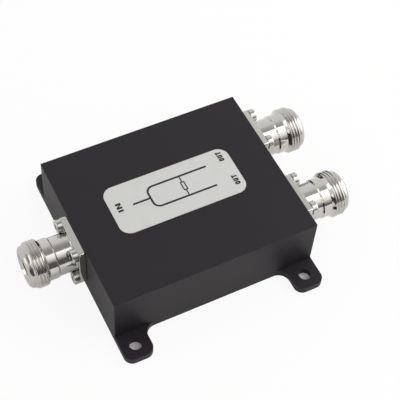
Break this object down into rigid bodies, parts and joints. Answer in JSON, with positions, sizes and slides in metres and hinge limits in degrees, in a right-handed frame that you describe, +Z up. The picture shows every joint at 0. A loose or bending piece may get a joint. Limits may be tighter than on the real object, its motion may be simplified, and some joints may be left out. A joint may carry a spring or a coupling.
{
  "type": "radio frequency power splitter",
  "caption": "Flat black metal box with screw ears and flanged threaded coaxial sockets at both ends; its board divides a radio-frequency line between outputs.",
  "frame": {"origin": "centre of the base, on the plane of the underside", "axes": "+X from the input socket to the output sockets, +Y across the box, +Z up through the label"},
  "size_m": [0.1088, 0.08, 0.0222],
  "materials": {
    "black_aluminium": "satin black anodised, milled",
    "nickel_brass": "turned brass, bright nickel plate",
    "steel_screws": "bright stainless steel",
    "label_foil": "matt pale grey polyester foil, printed dark",
    "white_insulator": "turned white fluoropolymer",
    "gilt_contact": "gold plated",
    "board_laminate": "glass-fibre laminate",
    "copper_foil": "bare copper",
    "chip_ceramic": "black film on ceramic",
    "solder": "tin solder"
  },
  "bodies": {
    "root": {"housing": "black_aluminium", "base_cover": "black_aluminium", "cover_screws": "steel_screws", "label": "label_foil", "circuit_board": "board_laminate", "copper_track": "copper_foil", "isolation_resistors": "chip_ceramic", "board_screws": "steel_screws", "solder_joints": "solder", "input_shell": "nickel_brass", "input_insulator": "white_insulator", "input_contact": "gilt_contact", "input_flange_screws": "steel_screws", "output_a_shell": "nickel_brass", "output_a_insulator": "white_insulator", "output_a_contact": "gilt_contact", "output_a_flange_screws": "steel_screws", "output_b_shell": "nickel_brass", "output_b_insulator": "white_insulator", "output_b_contact": "gilt_contact", "output_b_flange_screws": "steel_screws"}
  },
  "joints": []
}
